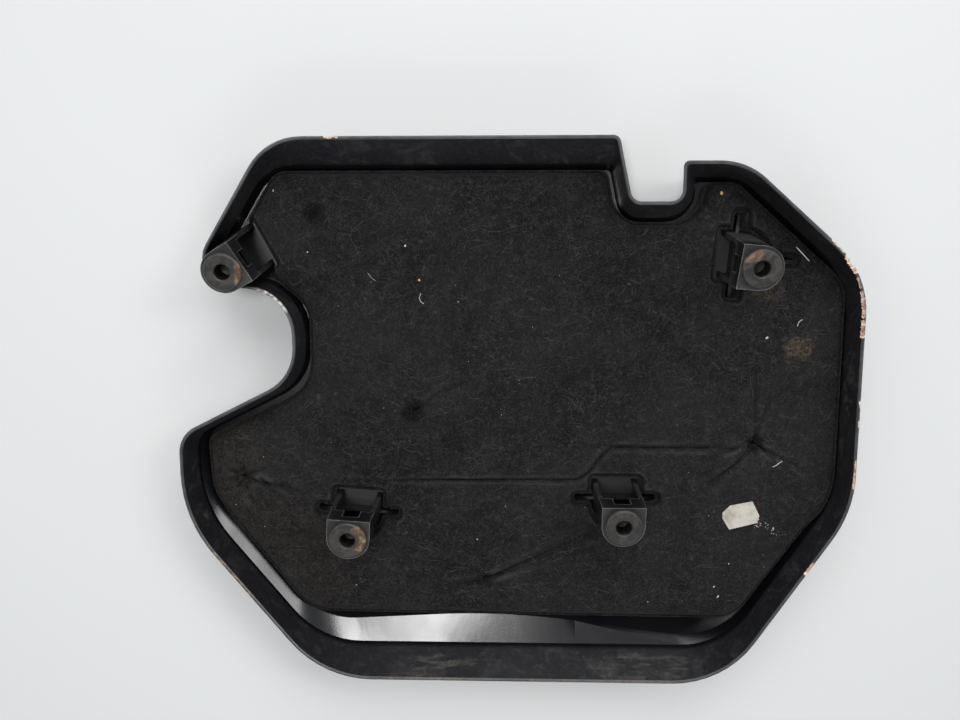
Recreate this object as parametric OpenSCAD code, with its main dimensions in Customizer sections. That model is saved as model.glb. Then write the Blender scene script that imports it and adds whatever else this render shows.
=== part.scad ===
// Engine cover, seen from its open underside: a moulded shell lying on its styled face,
// a foam pad with a felt skin, four rubber grommets in their towers and a paper sticker.
// X is the long way, Y the short way, Z points out of the underside. Units are millimetres.

/* [Shell outline] */
// Overall length of the rim
cover_length = 446; // [400:1:500]
// Overall width of the rim
cover_width = 364; // [340:1:420]
// How far the right shoulder of the upper edge sits below the upper edge
shoulder_drop = 16; // [8:1:22]
// Centre of the upper notch, measured from the middle
notch_x = 89; // [80:1:96]
// Width of the upper notch at its bottom
notch_width = 31; // [24:1:36]
// Depth of the upper notch from the upper edge
notch_depth = 41; // [30:1:48]
// How far the left wall of the notch leans out at its mouth
notch_flare = 9; // [2:1:14]
// How far the round bay reaches in from the left end
bay_depth = 78; // [60:1:88]
// Radius of the round bay
bay_radius = 31; // [24:1:34]
// Height of the middle of the bay over the middle of the cover
bay_y = 55; // [48:1:62]

/* [Shell section] */
// Thickness of the skirt wall
wall = 2.2; // [1.8:0.1:3]
// Thickness of the floor
floor_t = 2.5; // [2:0.1:3.5]
// Height of the rim over the styled face
rim_z = 34; // [28:1:40]
// Height of the bevel between floor and skirt
bevel_z = 8; // [6:0.5:10]
// Widest part of the bevel along the lower edge
bevel_wide = 21; // [12:1:24]
// Rounding of the rim's lip
lip_round = 0.7; // [0.4:0.1:1]
// Depth of the recessed panel in the styled face
panel_depth = 1.5; // [0.5:0.1:2]

/* [Towers] */
// Height of the middle of each grommet plate over the styled face
tower_z = 50; // [44:1:58]
// Lean of the two lower towers towards the lower edge, in degrees
lower_lean = 7; // [0:1:20]
// Lean of the upper right tower towards the lower edge, in degrees
right_lean = 11; // [0:1:20]
// Lean of the upper left tower towards the lower edge, in degrees
left_lean = 15; // [10:1:20]
// Half width of a tower at its plate
tower_half_top = 14; // [13:0.5:16]
// Half width of a tower at its foot
tower_half_foot = 15.6; // [14.5:0.1:17]
// Wall thickness of a tower
tower_wall = 2.2; // [1.6:0.1:2.6]
// Thickness of the plate that holds a grommet
plate_t = 3; // [2:0.1:4]
// Reach of a tower's open side from the grommet axis
tower_front = 13; // [12:0.5:15]
// Depth of the lip that closes a tower's open side under the plate
tower_lip = 15; // [8:0.5:18]
// Depth of the lip at the notch in its middle
lip_notch = 6; // [4:0.5:12]
// Half width of the notch in the lip
lip_notch_half = 5.4; // [3:0.1:7]
// Height of the cross rib in the open side
cross_rib_z = 12; // [8:0.5:14]
// Half length of the cross rib
cross_rib_half = 27; // [20:1:30]
// Thickness of the ribs
rib_t = 2; // [1.4:0.1:2.6]

/* [Grommets] */
// Radius of the bore that takes the ball stud
bore_r = 5; // [4:0.1:6]
// Length of the bore
bore_l = 12; // [8:0.5:13]
// Radius of the grommet's flange
flange_r = 12; // [10.5:0.1:12.6]
// Thickness of the grommet's flange
flange_t = 2.5; // [1.5:0.1:4]
// Radius of the seat that the grommet's neck sits in
seat_r = 8.6; // [7.5:0.1:9.2]
// Radius of the grommet's bulge under the plate
bulge_r = 10.4; // [9.6:0.1:11]

/* [Pad] */
// Height of the pad's face over the styled face
pad_z = 15; // [12:0.5:20]
// Thickness of the pressed edge of the pad
pad_edge_t = 3.8; // [2.5:0.1:5]
// Clearance round the pad
pad_clear = 0.3; // [0.2:0.1:1]
// Clearance of the pad's cut-outs round the towers
cut_clear = 0.8; // [0.4:0.1:2]
// Room that the cut-outs leave before a tower's open side
pad_front = 3.5; // [0.8:0.1:5]
// Depth of the tacked dimples
dimple_depth = 6; // [3:0.5:8]
// Radius of the tacked dimples
dimple_r = 7; // [4:0.5:10]
// Thickness of the sticker
sticker_t = 0.4; // [0.2:0.1:0.8]

/* [Hidden] */

left = -cover_length / 2;
right = cover_length / 2;
top = cover_width / 2;
bottom = -cover_width / 2;
shoulder_y = top - shoulder_drop;
bay_x = left + bay_depth;
seg = 8;
tiny = 0.01;

// Rim corners, clockwise seen from the open side: x, y, radius. A negative radius bends
// inwards, and a radius of 0 is a long soft bend of the lower edge.
rim = [
    [left + 65, top, 40],
    [notch_x - notch_width / 2 - notch_flare, top, 5],
    [notch_x - notch_width / 2, top - notch_depth, -7],
    [notch_x + notch_width / 2, top - notch_depth, -7],
    [notch_x + notch_width / 2, shoulder_y, 4],
    [right - 79, shoulder_y, 44],
    [right, top - 86, 60],
    [right, bottom + 122, 80],
    [right - 80, bottom, 65],
    [-5, bottom, 0],
    [left + 92, bottom, 72],
    [left, bottom + 113, 90],
    [left, bay_y - 66, 20],
    [bay_x, bay_y - 27, -bay_radius],
    [bay_x, bay_y + 28, -bay_radius],
    [left + 9, bay_y + 35, 18]
];

// How far each side of the skirt leans in from the rim to the bevel, in the order of the corners
side_lean = [14.5, 1.5, 7.5, 12, 6.5, 2.6, 0.8, 1.5, 13, 13, 2.3, 1.8, 4, 1, 3, 1.2];
// Width of the bevel at the start and at the end of each side
edge = 1.5;
side_bevel = [
    [edge, edge], [edge, edge], [edge, edge], [edge, edge],
    [edge, edge], [edge, edge], [edge, edge], [edge, edge],
    [edge, bevel_wide], [bevel_wide, 0.64 * bevel_wide], [7.5, 6.5], [4.5, 4.5],
    [edge, edge], [edge, edge], [edge, edge], [edge, edge]
];

// Towers: name, x and y of the grommet at the plate, heading of the open side, lean, reach of
// the rib behind it, half length of the rib across its foot and that rib's place before the axis
towers = [
    ["lower_left", left + 115, bottom + 106.5, 86, lower_lean, 20, cross_rib_half, 1.5],
    ["lower_right", 70, bottom + 116.5, 90, lower_lean, 20, cross_rib_half, 1.5],
    ["upper_right", right - 73, top - 83, 175, right_lean, 33, cross_rib_half, 4.5],
    ["upper_left", left + 40.5, bay_y + 42, 29, left_lean, 15, tower_half_foot - 3.4, 0]
];

// Pad corners, clockwise: x, y, radius
function pad_gap(i) = side_lean[i] + wall + edge + pad_clear;
pad_right = right - pad_gap(6);
pad_top = top - pad_gap(0);
pad_notch_y = top - notch_depth - pad_gap(2);
pad_shoulder_y = shoulder_y - pad_gap(4);
pad_bottom = bottom + 37;
pad = [
    [left + 62.5, pad_top, 14],
    [notch_x - notch_width / 2 - pad_gap(1) - 7, pad_top, 6],
    [notch_x - notch_width / 2 - pad_gap(1), pad_notch_y, -13],
    [notch_x + notch_width / 2 + pad_gap(3) + 1, pad_notch_y, -13],
    [notch_x + notch_width / 2 + pad_gap(3) + 3.5, pad_shoulder_y, 8],
    [right - 77, pad_shoulder_y, 12],
    [pad_right, top - 91, 34],
    [pad_right, bottom + 125, 62],
    [right - 67, pad_bottom - 2, 28],
    [left + 78, pad_bottom, 34],
    [left + 11.5, bottom + 124, 40],
    [left + 9.5, bottom + 164, 10],
    [bay_x + pad_gap(13), bay_y - 37, -28],
    [bay_x + pad_gap(13), bay_y + 18, -24],
    [left + 60, bay_y + 36, 5],
    [left + 42, bay_y + 75, 6]
];

// Recessed panel of the styled face, clockwise: x, y, radius. Its upper edge steps up to the right.
panel = [
    [left + 50, -46, 12],
    [43, -46, 14],
    [67, -22, 14],
    [right - 34, -22, 12],
    [right - 34, bottom + 128, 30],
    [right - 92, bottom + 46, 30],
    [left + 100, bottom + 46, 30]
];

// Places where the pad is tacked to the floor: x, y
dimples = [
    [left + 90, top - 48], [-68, 2], [73, top - 83],
    [right - 61, -18], [-20, bottom + 66], [left + 36, -43]
];

// Outline of the sticker
sticker_x = right - 67;
sticker_y = bottom + 113;
sticker = [for (p = [[-13, 2], [-8, 7], [7, 10], [12, 0], [11, -5], [-8, -10], [-13, -2]])
    [sticker_x + p[0], sticker_y + p[1]]];

// Geometry of rounded outlines
function unit(v) = v / norm(v);
function wrap(a) = a > 180 ? a - 360 : a < -180 ? a + 360 : a;
function xy(c) = [c[0], c[1]];
function inward(a, b) = [b[1] - a[1], a[0] - b[0]] / norm(b - a);
function cross2(a, b) = a[0] * b[1] - a[1] * b[0];

// Line of one side, moved inwards by one amount at its start and another at its end
function side(c, i, d) =
    let (n = len(c), a = xy(c[i]), b = xy(c[(i + 1) % n]), w = inward(a, b))
    [a + d[0] * w, b + d[1] * w];

// Point where two such lines meet, or halfway between their ends where they run on
function meet(p, q) =
    let (u = p[1] - p[0], v = q[1] - q[0], k = cross2(unit(u), unit(v)))
    abs(k) < 0.01 ? (p[1] + q[0]) / 2
                  : p[0] + u * cross2(q[0] - p[0], v) / cross2(u, v);

// Corners moved inwards by an amount for each side; d holds a start and an end for every side
function inset(c, d) =
    let (n = len(c))
    [for (i = [0:n - 1])
        let (h = (i + n - 1) % n,
             m = meet(side(c, h, d[h]), side(c, i, d[i])),
             k = (d[h][1] + d[i][0]) / 2,
             r = c[i][2])
        [m[0], m[1], r == 0 ? 0 : r > 0 ? max(r - k, 3) : r - k]];

// The same amount on every side
function even(c, k) = [for (i = c) [k, k]];

// Points of one corner: an arc, or a long parabola for the soft bend
function corner(p, c, n) =
    let (u = unit(xy(p) - xy(c)), v = unit(xy(n) - xy(c)), r = abs(c[2]))
    r == 0 ? [for (k = [0:seg])
                 let (t = k / seg, a = xy(c) + 50 * u, b = xy(c) + 50 * v)
                 (1 - t) * (1 - t) * a + 2 * t * (1 - t) * xy(c) + t * t * b]
           : let (h = acos(u * v) / 2,
                  s = r / tan(h),
                  m = xy(c) + unit(u + v) * r / sin(h),
                  a = xy(c) + s * u - m,
                  b = xy(c) + s * v - m,
                  a0 = atan2(a[1], a[0]),
                  da = wrap(atan2(b[1], b[0]) - a0))
             [for (k = [0:seg]) m + r * [cos(a0 + da * k / seg), sin(a0 + da * k / seg)]];

function outline(c) =
    let (n = len(c))
    [for (i = [0:n - 1]) each corner(c[(i + n - 1) % n], c[i], c[(i + 1) % n])];

// Closed band of material: the outlines follow one another round its section, and the last
// one joins the first. All have the same number of points.
module band(rings, heights) {
    n = len(rings[0]);
    m = len(rings);
    points = [for (k = [0:m - 1]) each [for (p = rings[k]) [p[0], p[1], heights[k]]]];
    polyhedron(points, [
        for (k = [0:m - 1], i = [0:n - 1]) each
            let (j = (i + 1) % n, a = k * n, b = ((k + 1) % m) * n)
            [[a + i, a + j, b + j], [a + i, b + j, b + i]]]);
}

// Amount by which the skirt has leaned in at a height
function lean_at(z, extra) =
    [for (s = side_lean) let (k = s * (rim_z - z) / (rim_z - bevel_z) + extra) [k, k]];
function sum2(a, b) = [for (i = [0:len(a) - 1]) a[i] + b[i]];

// The tray: bevel, skirt, lip, inside of the skirt and inner bevel as one band round the floor
module tray() {
    out_z = bevel_z - floor_t;
    crease = sum2(lean_at(bevel_z, wall), side_bevel);
    floor_line = outline(inset(rim, crease));
    band([outline(inset(rim, sum2(crease, even(rim, -1.2)))),
          outline(inset(rim, lean_at(out_z, 0))),
          outline(inset(rim, lean_at(rim_z - lip_round, 0))),
          outline(inset(rim, even(rim, lip_round))),
          outline(inset(rim, even(rim, wall - lip_round))),
          outline(inset(rim, lean_at(rim_z - lip_round, wall))),
          outline(inset(rim, lean_at(bevel_z, wall))),
          floor_line,
          floor_line],
         [0, out_z, rim_z - lip_round, rim_z, rim_z, rim_z - lip_round, bevel_z, floor_t, 0]);
    linear_extrude(height = floor_t)
        polygon(outline(inset(rim, sum2(crease, even(rim, -0.5)))));
}

// Where a tower's axis is at the height of its cross rib
function foot_y(place) = place[2] + (tower_z - cross_rib_z) * tan(place[4]);

// Frame of a tower: origin in the middle of the plate's top, Z along the grommet's axis
module at_tower(place) {
    translate([place[1], place[2], tower_z])
        rotate([place[4], 0, 0])
            rotate([0, 0, place[3]])
                children();
}

// Upright frame on the styled face, with its origin on a tower's cross rib
module at_rib(place) {
    translate([place[1], foot_y(place), 0])
        rotate([0, 0, place[3]])
            translate([place[7], 0, 0])
                children();
}

// D-shaped block under the plate: a half cone behind the axis and a tapered block before it
module d_block(less, front) {
    deep = 1.2 * tower_z;
    foot = tower_half_foot - less;
    head = tower_half_top - less;
    rotate([0, 0, 90])
        rotate_extrude(angle = 180, $fn = 64)
            polygon([[0, -deep], [foot, -deep], [head, 0], [0, 0]]);
    rotate([90, 0, 90])
        linear_extrude(height = front)
            polygon([[-foot, -deep], [foot, -deep], [head, 0], [-head, 0]]);
}

module tower(place) {
    deep = 1.2 * tower_z;
    low = floor_t - 1;
    intersection() {
        at_tower(place) {
            difference() {
                d_block(0, tower_front);
                // Hollow under the plate, closed in front by the lip
                translate([0, 0, -plate_t]) d_block(tower_wall, tower_front - tower_wall);
                // Open side below the lip, and the notch in the lip
                translate([1, tower_wall - tower_half_top, -tower_lip - deep])
                    cube([tower_front, 2 * (tower_half_top - tower_wall), deep]);
                translate([1, -lip_notch_half, -lip_notch - deep])
                    cube([tower_front, 2 * lip_notch_half, deep]);
                // Seat of the grommet
                translate([0, 0, -plate_t - 1]) cylinder(r = seat_r, h = plate_t + 2, $fn = 64);
            }
            // Rib behind the tower
            rotate([90, 0, 0])
                linear_extrude(height = rib_t, center = true)
                    polygon([[1 - tower_half_top, -deep], [-place[5], -deep],
                             [-place[5], pad_z - 2 - tower_z], [1 - tower_half_top, -18]]);
        }
        translate([place[1] - 70, place[2] - 70, low]) cube([140, 140, 100]);
    }
    at_rib(place)
        translate([0, -place[6], low])
            cube([rib_t, 2 * place[6], cross_rib_z - low]);
}

module cover_shell() {
    color([0.09, 0.1, 0.12])
        union() {
            difference() {
                tray();
                // Recess in the styled face
                translate([0, 0, -1])
                    linear_extrude(height = panel_depth + 1) polygon(outline(panel));
            }
            // The floor steps up over the recess
            translate([0, 0, floor_t - tiny])
                linear_extrude(height = panel_depth + tiny)
                    polygon(outline(inset(panel, even(panel, -floor_t))));
            for (t = towers) tower(t);
        }
}

// Cut-out round a tower and its ribs, grown by the cut's clearance
module tower_cut(place) {
    grow = cut_clear;
    at_tower(place) d_block(-grow, tower_front + pad_front);
    at_rib(place)
        translate([-grow, -place[6] - grow, 0])
            cube([rib_t + 2 * grow, 2 * (place[6] + grow), tower_z]);
    if (place[5] > tower_half_foot)
        at_tower(place)
            translate([-place[5] - grow, -rib_t / 2 - grow, -1.2 * tower_z])
                cube([place[5], rib_t + 2 * grow, tower_z]);
}

module insulation_pad() {
    low = floor_t + pad_clear;
    edge_z = low + pad_edge_t;
    rise = pad_z - edge_z;
    // Loose outline outside the pad, with other corner radii
    around = [for (c = inset(pad, even(pad, -3))) [c[0], c[1], 1.2 * c[2]]];
    color([0.15, 0.15, 0.16])
        difference() {
            translate([0, 0, low])
                linear_extrude(height = pad_z - low) polygon(outline(pad));
            // The crowned edge: everything over the pressed rim of the pad
            band([outline(around),
                  outline(around),
                  outline(inset(pad, even(pad, 12.5))),
                  outline(inset(pad, even(pad, 8))),
                  outline(inset(pad, even(pad, 5))),
                  outline(inset(pad, even(pad, 3.6)))],
                 [edge_z - 0.6, pad_z + 1, pad_z + 0.5, edge_z + 0.85 * rise,
                  edge_z + 0.55 * rise, edge_z]);
            // Pocket over the step in the floor
            translate([0, 0, low - 1])
                linear_extrude(height = panel_depth + 1)
                    polygon(outline(inset(panel, even(panel, -floor_t - 0.5))));
            for (t = towers) tower_cut(t);
            for (p = dimples)
                translate([p[0], p[1], pad_z - dimple_depth])
                    cylinder(r1 = 1.5, r2 = dimple_r, h = dimple_depth + tiny, $fn = 32);
        }
}

// Rubber grommet, turned about its own axis: flange, neck, bulge and blind bore
module grommet(place) {
    neck = seat_r - 0.1;
    mouth = bore_r + 0.8;
    base = -bore_l - 2.5;
    at_tower(place)
        rotate_extrude($fn = 64)
            polygon([
                [0, base], [bulge_r - 3, base],
                [bulge_r, -plate_t - 3.5], [bulge_r, -plate_t - 0.1],
                [neck, -plate_t - 0.1], [neck, 0],
                [flange_r, 0], [flange_r, flange_t - 0.8], [flange_r - 0.8, flange_t],
                [mouth, flange_t], [bore_r, flange_t - 0.8],
                [bore_r, flange_t - 0.8 - bore_l], [0, flange_t - 0.8 - bore_l]
            ]);
}

module rubber(k) {
    color([0.12, 0.12, 0.13]) grommet(towers[k]);
}

module paper_sticker() {
    color([0.85, 0.83, 0.78])
        translate([0, 0, pad_z])
            linear_extrude(height = sticker_t) polygon(sticker);
}

cover_shell();
insulation_pad();
rubber(0);  // grommet_lower_left
rubber(1);  // grommet_lower_right
rubber(2);  // grommet_upper_right
rubber(3);  // grommet_upper_left
paper_sticker();
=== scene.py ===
import math

import bmesh
import bpy
import numpy as np
from mathutils import Matrix, Vector
from mathutils.geometry import delaunay_2d_cdt


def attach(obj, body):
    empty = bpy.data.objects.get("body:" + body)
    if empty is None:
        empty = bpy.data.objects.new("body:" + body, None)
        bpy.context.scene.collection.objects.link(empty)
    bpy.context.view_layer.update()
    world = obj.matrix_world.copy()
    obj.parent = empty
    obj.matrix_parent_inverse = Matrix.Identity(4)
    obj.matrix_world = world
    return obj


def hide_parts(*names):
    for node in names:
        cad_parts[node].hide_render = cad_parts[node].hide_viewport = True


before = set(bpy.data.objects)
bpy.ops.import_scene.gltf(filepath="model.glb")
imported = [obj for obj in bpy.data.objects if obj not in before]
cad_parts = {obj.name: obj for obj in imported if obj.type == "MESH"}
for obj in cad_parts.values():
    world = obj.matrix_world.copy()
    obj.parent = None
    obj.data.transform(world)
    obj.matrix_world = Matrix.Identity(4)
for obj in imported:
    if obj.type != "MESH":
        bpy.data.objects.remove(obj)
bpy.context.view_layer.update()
MM = 0.001

# Sizes shared with the part, in millimetres
TOWER_Z = 50.0      # middle of a tower's plate
PAD_Z = 15.0        # face of the pad
RIM_Z = 34.0        # lip of the shell
PANEL_RISE = 1.5    # step in the tray's floor
PAD_LOW = 2.8       # underside of the pad
EDGE_Z = 6.6        # pressed edge of the pad
# Towers: x, y, heading of the open side, lean, reach of the back rib, half length of the cross
# rib and its offset
TOWERS = {
    "lower_left": (-108.0, -75.5, 86, 7, 20, 27, 1.5),
    "lower_right": (70.0, -65.5, 90, 7, 20, 27, 1.5),
    "upper_right": (150.0, 99.0, 175, 11, 33, 27, 4.5),
    "upper_left": (-182.5, 97.0, 29, 15, 0, 12.2, 0),
}
# Corners of the pad, clockwise: x, y, radius; a negative radius bends inwards
PAD = [
    (-160.5, 163.5, 14), (61, 163.5, 7), (67.5, 129.5, -20), (122, 129.5, -20),
    (124.5, 155.5, 8), (146, 155.5, 12), (218.8, 91, 34), (218.8, -57, 62),
    (156, -147, 28), (-145, -145, 34), (-211.5, -58, 40), (-213.5, -18, 10),
    (-140, 18, -28), (-140, 73, -24), (-163, 91, 5), (-181, 130, 6),
]
# Corners of the recessed panel: x, y, radius
PANEL = [
    (-173, -46, 12), (43, -46, 14), (67, -22, 14), (189, -22, 12),
    (189, -54, 30), (131, -136, 30), (-123, -136, 30),
]
# Tacked points of the felt: x, y, depth, radius of the pinch
TACKS = [
    (-134, 135, 5.5, 5.0), (-68, 2, 7.5, 6.0), (74, 100, 1.8, 6.0),
    (163, -19, 6.0, 4.4), (-20, -117, 3.6, 5.0), (-188, -45, 5.0, 5.0),
]
# Creases of the felt: path, depth, half width
FOLDS = [
    ([(-68, 2), (-52, 14), (-34, 22), (-12, 28)], 1.3, 1.7),
    ([(-68, 2), (-56, 6), (-40, 8)], 1.0, 1.6),
    ([(-68, 2), (-80, 12), (-96, 34)], 0.9, 1.8),
    ([(163, -19), (185, -31), (206, -42)], 2.0, 1.5),
    ([(163, -19), (182, -34), (198, -47)], 1.2, 1.4),
    ([(163, -19), (150, -34), (120, -56)], 2.0, 1.9),
    ([(163, -19), (144, -32), (110, -48)], 1.1, 1.6),
    ([(163, -19), (162, 12), (161, 51)], 1.1, 2.0),
    ([(163, -19), (170, 12), (174, 46)], 0.9, 2.0),
    ([(163, -19), (136, -27), (112, -30)], 0.9, 1.7),
    ([(-20, -117), (20, -98), (67, -75)], 2.0, 2.0),
    ([(-20, -117), (8, -108), (52, -90)], 1.3, 1.7),
    ([(-20, -117), (-22, -90), (-20, -70)], 0.8, 2.2),
    ([(-20, -117), (-48, -122), (-80, -124)], 0.8, 2.2),
    ([(-188, -45), (-175, -49), (-156, -51), (-135, -62)], 1.7, 1.7),
    ([(-188, -45), (-172, -38), (-150, -36)], 1.1, 1.6),
    ([(-188, -45), (-182, -60), (-170, -76)], 1.3, 1.6),
    ([(-188, -45), (-192, -60), (-190, -72)], 1.1, 1.5),
    ([(-188, -45), (-198, -38), (-205, -28)], 1.1, 1.5),
    ([(-188, -45), (-186, -30), (-178, -16)], 1.0, 1.6),
    ([(-188, -45), (-200, -50), (-207, -54)], 0.9, 1.4),
    ([(-175, -46), (-160, -60), (-148, -74)], 1.1, 1.7),
]
# Line in the felt over the step in the floor
STEP = [(-92, -46), (43, -45), (50, -41), (60, -28), (67, -22), (150, -22)]
# Chips in the rim: from, to, width, depth
CHIPS = [
    ((202, 121), (208.6, 109), 1.5, 1.3), ((209, 108.5), (214.8, 96), 2.9, 2.8),
    ((215.5, 93), (217, 86), 1.0, 1.0), ((217.6, 84), (219.6, 68), 1.6, 2.2),
    ((219.8, 66), (221.2, 55), 2.0, 2.6), ((222.5, 14), (222.6, 10), 0.8, 1.0),
    ((222.6, 1), (222.5, -3), 1.0, 1.2), ((222, -25), (221.5, -44), 0.8, 0.9),
    ((193.5, -103), (198.5, -95), 1.3, 1.4), ((-121, 182), (-112, 182), 1.4, 1.3),
]
CHIP_SPACING = 1.7
# Loose specks on the felt: x, y, radius
SPECKS = [
    (-138.2, 109.7, 0.6), (-72.8, 113.7, 0.8), (-63.7, 91.2, 1.0), (-37.7, 76.7, 0.5),
    (167.7, 53.0, 0.9), (139.3, -120.5, 0.7), (142.4, -127.7, 0.9), (149.0, -103.7, 0.5),
    (162.3, -17.6, 0.7), (134.3, 147.6, 1.4), (-160, 150, 0.7), (-25, -88, 0.5),
    (-110, -122, 0.4), (94, -132, 0.5), (-96, 90, 0.35), (12, 60, 0.3),
]
# Single hairs on the felt, the last a painted highlight on the pad's edge: path, radius
HAIRS = [
    ([(-62.4, 82.6), (-63.8, 79.3), (-62.5, 76.6), (-60.5, 75.3)], 0.2),
    ([(190.5, 65.5), (188.1, 63.7), (187.2, 60.5)], 0.26),
    ([(175.5, -35), (178.4, -33.4), (182, -30.5)], 0.26),
    ([(-98, 96), (-95.5, 92.5), (-92.5, 90.5)], 0.1),
    ([(150, 152.6), (155, 154), (161, 152.2)], 0.2),
    # a pale strand that stands in for a glint on the pad's edge: a painted highlight
    ([(184.5, 113), (189, 108.5), (193.5, 103.5)], 0.4),
]


# Small helpers
def link(name, mesh, material, body="root"):
    obj = bpy.data.objects.new(name, mesh)
    bpy.context.scene.collection.objects.link(obj)
    mesh.materials.append(material)
    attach(obj, body)
    return obj


def rounded(corners, step=1.5):
    """Closed outline through rounded corners, resampled to an even step."""
    c = [np.array(p, float) for p in corners]
    n = len(c)
    pts = []
    for i in range(n):
        p, q, s = c[i - 1][:2], c[i][:2], c[(i + 1) % n][:2]
        r = abs(c[i][2])
        u, v = (p - q) / np.linalg.norm(p - q), (s - q) / np.linalg.norm(s - q)
        h = math.acos(float(np.clip(u @ v, -1, 1))) / 2
        m = q + (u + v) / np.linalg.norm(u + v) * r / math.sin(h)
        a, b = q + u * r / math.tan(h) - m, q + v * r / math.tan(h) - m
        a0 = math.atan2(a[1], a[0])
        da = (math.atan2(b[1], b[0]) - a0 + math.pi) % (2 * math.pi) - math.pi
        k = max(4, int(abs(da) * r / 0.8))
        pts += [m + r * np.array([math.cos(a0 + da * t / k), math.sin(a0 + da * t / k)])
                for t in range(k + 1)]
    return resample(np.array(pts), step)


def resample(loop, step):
    closed = np.vstack([loop, loop[:1]])
    seg = np.linalg.norm(np.diff(closed, axis=0), axis=1)
    s = np.concatenate([[0], np.cumsum(seg)])
    n = max(8, int(round(s[-1] / step)))
    t = np.arange(n) * s[-1] / n
    return np.stack([np.interp(t, s, closed[:, 0]), np.interp(t, s, closed[:, 1])], 1)


def soften(loop, times=3):
    for _ in range(times):
        loop = 0.25 * np.roll(loop, 1, 0) + 0.5 * loop + 0.25 * np.roll(loop, -1, 0)
    return loop


def outward(loop):
    """Unit vectors that point out of a closed outline at each of its points."""
    t = np.roll(loop, -1, 0) - np.roll(loop, 1, 0)
    n = np.stack([t[:, 1], -t[:, 0]], 1) / np.linalg.norm(t, axis=1)[:, None]
    area = np.sum(loop[:, 0] * np.roll(loop[:, 1], -1) - np.roll(loop[:, 0], -1) * loop[:, 1])
    return n if area > 0 else -n


def signed_distance(pts, loop):
    """Distance to a closed outline, positive inside."""
    a, b = loop, np.roll(loop, -1, 0)
    best = np.full(len(pts), 1e9)
    inside = np.zeros(len(pts), bool)
    for k in range(len(a)):
        d = b[k] - a[k]
        t = np.clip(((pts - a[k]) @ d) / (d @ d), 0, 1)
        e = pts - a[k] - t[:, None] * d
        best = np.minimum(best, e[:, 0] ** 2 + e[:, 1] ** 2)
        cross = (a[k][1] > pts[:, 1]) != (b[k][1] > pts[:, 1])
        if cross.any():
            x = a[k][0] + (pts[:, 1] - a[k][1]) * d[0] / (d[1] if d[1] else 1e-9)
            inside ^= cross & (pts[:, 0] < x)
    return np.where(inside, 1, -1) * np.sqrt(best)


def smooth(x, a, b):
    t = np.clip((x - a) / (b - a), 0, 1)
    return t * t * (3 - 2 * t)


def waves(pts, length, seed, count=24):
    """Smooth random height of about unit size with features of one length."""
    r = np.random.default_rng(seed)
    out = np.zeros(len(pts))
    for _ in range(count):
        a = r.uniform(0, 2 * math.pi)
        k = 2 * math.pi / (length * r.uniform(0.7, 1.5))
        out += np.sin(k * (pts[:, 0] * math.cos(a) + pts[:, 1] * math.sin(a)) + r.uniform(0, 6.28))
    return out / math.sqrt(count)


# Camera, as in the photograph
FOCAL_PX = 753.0
IMAGE = (960, 720)
FOOT_PX = (500.0, 266.0)       # where the camera's upright meets the picture
CAMERA_AT = Vector((-9.8, 100.5, 518.0)) * MM

across, along = ((foot - size / 2) / FOCAL_PX for foot, size in zip(FOOT_PX, IMAGE))
down = Vector((across, -along, -1)).normalized()
row_z = -down
row_x = (Vector((1, 0, 0)) - row_z * row_z.x).normalized()
row_y = row_z.cross(row_x)
cam_data = bpy.data.cameras.new("photo_camera")
cam_data.sensor_width = 36
cam_data.lens = 36 * FOCAL_PX / IMAGE[0]
cam_data.clip_start = 0.01
cam = bpy.data.objects.new("photo_camera", cam_data)
bpy.context.scene.collection.objects.link(cam)
cam.matrix_world = Matrix.Translation(CAMERA_AT) @ Matrix((row_x, row_y, row_z)).to_4x4()
bpy.context.scene.camera = cam


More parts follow.
